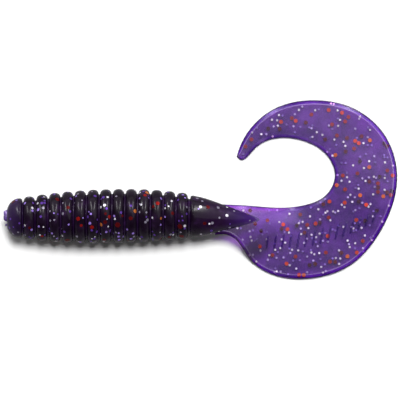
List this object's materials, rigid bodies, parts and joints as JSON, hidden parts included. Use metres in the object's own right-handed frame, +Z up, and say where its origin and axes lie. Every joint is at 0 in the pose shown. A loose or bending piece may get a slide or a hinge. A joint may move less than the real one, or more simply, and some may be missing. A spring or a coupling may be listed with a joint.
{
  "type": "soft plastic curly tail grub",
  "caption": "Ribbed soft plastic fishing grub with a flat sickle-shaped curly tail, cast in translucent purple vinyl with copper and silver glitter, free to bend at each groove.",
  "frame": {"origin": "centre of the nose face, on the round body's axis, where a jig head seats", "axes": "+X along the body's axis from the nose towards the tail, +Z up from the surface it lies on, +Y to the side that the tail curls to"},
  "size_m": [0.08, 0.0364, 0.011],
  "materials": {
    "body_vinyl": "glossy, wet-looking soft vinyl, almost black where it is thick",
    "tail_vinyl": "glossy translucent soft vinyl",
    "mixed_glitter": "mirror-bright hexagonal flakes, copper and silver",
    "copper_glitter": "mirror-bright copper red flakes",
    "silver_glitter": "mirror-bright silver flakes"
  },
  "bodies": {
    "head": {"head": "body_vinyl", "flakes_head": "mixed_glitter", "gate_stub": "body_vinyl"},
    "ring_01": {"ring_01": "body_vinyl", "flakes_ring_01": "mixed_glitter"},
    "ring_02": {"ring_02": "body_vinyl", "flakes_ring_02": "mixed_glitter"},
    "ring_03": {"ring_03": "body_vinyl", "flakes_ring_03": "mixed_glitter"},
    "ring_04": {"ring_04": "body_vinyl", "flakes_ring_04": "mixed_glitter"},
    "ring_05": {"ring_05": "body_vinyl", "flakes_ring_05": "mixed_glitter"},
    "ring_06": {"ring_06": "body_vinyl", "flakes_ring_06": "mixed_glitter"},
    "ring_07": {"ring_07": "body_vinyl", "flakes_ring_07": "mixed_glitter"},
    "ring_08": {"ring_08": "body_vinyl", "flakes_ring_08": "mixed_glitter"},
    "ring_09": {"ring_09": "body_vinyl", "flakes_ring_09": "mixed_glitter"},
    "ring_10": {"ring_10": "body_vinyl", "flakes_ring_10": "mixed_glitter"},
    "ring_11": {"ring_11": "body_vinyl", "flakes_ring_11": "mixed_glitter"},
    "ring_12": {"ring_12": "body_vinyl", "flakes_ring_12": "mixed_glitter"},
    "ring_13": {"ring_13": "body_vinyl", "flakes_ring_13": "mixed_glitter"},
    "tail_root": {"tail_root": "body_vinyl", "flakes_tail_root": "mixed_glitter"},
    "tail_1": {"tail_1": "tail_vinyl", "copper_flakes_tail_1": "copper_glitter", "silver_flakes_tail_1": "silver_glitter"},
    "tail_2": {"tail_2": "tail_vinyl", "copper_flakes_tail_2": "copper_glitter", "silver_flakes_tail_2": "silver_glitter"},
    "tail_3": {"tail_3": "tail_vinyl", "copper_flakes_tail_3": "copper_glitter", "silver_flakes_tail_3": "silver_glitter"},
    "tail_4": {"tail_4": "tail_vinyl", "copper_flakes_tail_4": "copper_glitter", "silver_flakes_tail_4": "silver_glitter"},
    "tail_5": {"tail_5": "tail_vinyl", "copper_flakes_tail_5": "copper_glitter", "silver_flakes_tail_5": "silver_glitter"},
    "tail_6": {"tail_6": "tail_vinyl", "copper_flakes_tail_6": "copper_glitter", "silver_flakes_tail_6": "silver_glitter"}
  },
  "joints": [
    {"name": "body_sideways_01", "type": "hinge", "parent": "head", "child": "ring_01", "pos_m": [0.00317, 0, 0], "axis": [0.0017, 0, 1], "range_deg": [-5, 5], "stiffness_Nm_per_rad": 0.009},
    {"name": "body_updown_02", "type": "hinge", "parent": "ring_01", "child": "ring_02", "pos_m": [0.00577, 0.00002, 0], "axis": [0.0017, -1, 0], "range_deg": [-5, 5], "stiffness_Nm_per_rad": 0.009},
    {"name": "body_sideways_03", "type": "hinge", "parent": "ring_02", "child": "ring_03", "pos_m": [0.00836, 0.00009, 0], "axis": [0.0017, 0, 1], "range_deg": [-5, 5], "stiffness_Nm_per_rad": 0.009},
    {"name": "body_updown_04", "type": "hinge", "parent": "ring_03", "child": "ring_04", "pos_m": [0.01095, 0.00015, 0], "axis": [0.0017, -1, 0], "range_deg": [-5, 5], "stiffness_Nm_per_rad": 0.009},
    {"name": "body_sideways_05", "type": "hinge", "parent": "ring_04", "child": "ring_05", "pos_m": [0.01354, 0.00022, 0], "axis": [0.0017, 0, 1], "range_deg": [-5, 5], "stiffness_Nm_per_rad": 0.009},
    {"name": "body_updown_06", "type": "hinge", "parent": "ring_05", "child": "ring_06", "pos_m": [0.01613, 0.00028, 0], "axis": [0.0017, -1, 0], "range_deg": [-5, 5], "stiffness_Nm_per_rad": 0.009},
    {"name": "body_sideways_07", "type": "hinge", "parent": "ring_06", "child": "ring_07", "pos_m": [0.01873, 0.00035, 0], "axis": [0.0017, 0, 1], "range_deg": [-5, 5], "stiffness_Nm_per_rad": 0.009},
    {"name": "body_updown_08", "type": "hinge", "parent": "ring_07", "child": "ring_08", "pos_m": [0.02132, 0.0004, 0], "axis": [0.0017, -1, 0], "range_deg": [-5, 5], "stiffness_Nm_per_rad": 0.009},
    {"name": "body_sideways_09", "type": "hinge", "parent": "ring_08", "child": "ring_09", "pos_m": [0.02391, 0.00044, 0], "axis": [0.0017, 0, 1], "range_deg": [-5, 5], "stiffness_Nm_per_rad": 0.009},
    {"name": "body_updown_10", "type": "hinge", "parent": "ring_09", "child": "ring_10", "pos_m": [0.0265, 0.00049, 0], "axis": [0.0017, -1, 0], "range_deg": [-5, 5], "stiffness_Nm_per_rad": 0.009},
    {"name": "body_sideways_11", "type": "hinge", "parent": "ring_10", "child": "ring_11", "pos_m": [0.02909, 0.00051, 0], "axis": [0.0017, 0, 1], "range_deg": [-5, 5], "stiffness_Nm_per_rad": 0.009},
    {"name": "body_updown_12", "type": "hinge", "parent": "ring_11", "child": "ring_12", "pos_m": [0.03169, 0.00048, 0], "axis": [0.0017, -1, 0], "range_deg": [-5, 5], "stiffness_Nm_per_rad": 0.009},
    {"name": "body_sideways_13", "type": "hinge", "parent": "ring_12", "child": "ring_13", "pos_m": [0.03428, 0.00045, 0], "axis": [0.0017, 0, 1], "range_deg": [-5, 5], "stiffness_Nm_per_rad": 0.009},
    {"name": "body_updown_14", "type": "hinge", "parent": "ring_13", "child": "tail_root", "pos_m": [0.03687, 0.00039, 0], "axis": [0.0017, -1, 0], "range_deg": [-5, 5], "stiffness_Nm_per_rad": 0.009},
    {"name": "tail_flap_1", "type": "hinge", "parent": "tail_root", "child": "tail_1", "pos_m": [0.053, 0.0087, -0.00243], "axis": [0.0017, -1, 0], "range_deg": [-40, 40], "stiffness_Nm_per_rad": 0.0001},
    {"name": "tail_flap_2", "type": "hinge", "parent": "tail_1", "child": "tail_2", "pos_m": [0.0615, 0.0087, -0.00486], "axis": [0.0017, -1, 0], "range_deg": [-40, 40], "stiffness_Nm_per_rad": 0.0001},
    {"name": "tail_curl_3", "type": "hinge", "parent": "tail_2", "child": "tail_3", "pos_m": [0.0615, 0.0087, -0.00486], "axis": [0.7083, -0.7059, 0], "range_deg": [-25, 25], "stiffness_Nm_per_rad": 0.0001},
    {"name": "tail_curl_4", "type": "hinge", "parent": "tail_3", "child": "tail_4", "pos_m": [0.0615, 0.0087, -0.00486], "axis": [1, 0.0017, 0], "range_deg": [-25, 25], "stiffness_Nm_per_rad": 0.0001},
    {"name": "tail_curl_5", "type": "hinge", "parent": "tail_4", "child": "tail_5", "pos_m": [0.0615, 0.0087, -0.00486], "axis": [0.7059, 0.7083, 0], "range_deg": [-25, 25], "stiffness_Nm_per_rad": 0.0001},
    {"name": "tail_curl_6", "type": "hinge", "parent": "tail_5", "child": "tail_6", "pos_m": [0.0615, 0.0087, -0.00486], "axis": [-0.0017, 1, 0], "range_deg": [-25, 25], "stiffness_Nm_per_rad": 0.0001}
  ],
  "couplings": [
    {"joint": "body_sideways_03", "follows": "body_sideways_01", "ratio": 1},
    {"joint": "body_updown_04", "follows": "body_updown_02", "ratio": 1},
    {"joint": "body_sideways_05", "follows": "body_sideways_01", "ratio": 1},
    {"joint": "body_updown_06", "follows": "body_updown_02", "ratio": 1},
    {"joint": "body_sideways_07", "follows": "body_sideways_01", "ratio": 1},
    {"joint": "body_updown_08", "follows": "body_updown_02", "ratio": 1},
    {"joint": "body_sideways_09", "follows": "body_sideways_01", "ratio": 1},
    {"joint": "body_updown_10", "follows": "body_updown_02", "ratio": 1},
    {"joint": "body_sideways_11", "follows": "body_sideways_01", "ratio": 1},
    {"joint": "body_updown_12", "follows": "body_updown_02", "ratio": 1},
    {"joint": "body_sideways_13", "follows": "body_sideways_01", "ratio": 1},
    {"joint": "body_updown_14", "follows": "body_updown_02", "ratio": 1},
    {"joint": "tail_flap_2", "follows": "tail_flap_1", "ratio": 1},
    {"joint": "tail_curl_4", "follows": "tail_curl_3", "ratio": 1},
    {"joint": "tail_curl_5", "follows": "tail_curl_3", "ratio": 1},
    {"joint": "tail_curl_6", "follows": "tail_curl_3", "ratio": 1}
  ]
}
